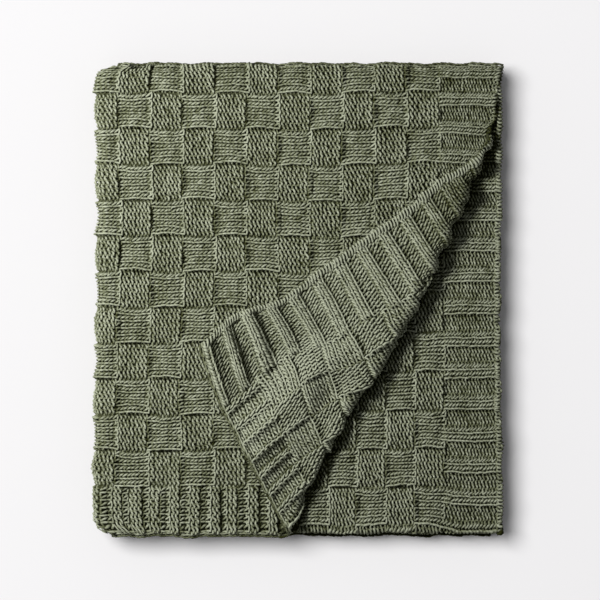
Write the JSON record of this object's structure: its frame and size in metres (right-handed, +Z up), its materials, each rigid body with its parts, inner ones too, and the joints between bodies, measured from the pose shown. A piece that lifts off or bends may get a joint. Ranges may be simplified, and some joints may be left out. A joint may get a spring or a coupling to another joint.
{
  "type": "folded knit throw blanket",
  "caption": "Chunky knit throw blanket in a check of knit and purl blocks with ribbed borders, folded into a flat packet with a corner of the top ply turned back.",
  "frame": {"origin": "on the surface under the middle of the folded packet", "axes": "+X towards the free ribbed ends of the packet, +Y towards the folds at its far edge, +Z up out of the top ply"},
  "size_m": [0.3752, 0.4316, 0.0567],
  "materials": {
    "yarn": "plied matt cotton-blend yarn, muted olive green"
  },
  "bodies": {
    "root": {"throw": "yarn"}
  },
  "joints": []
}
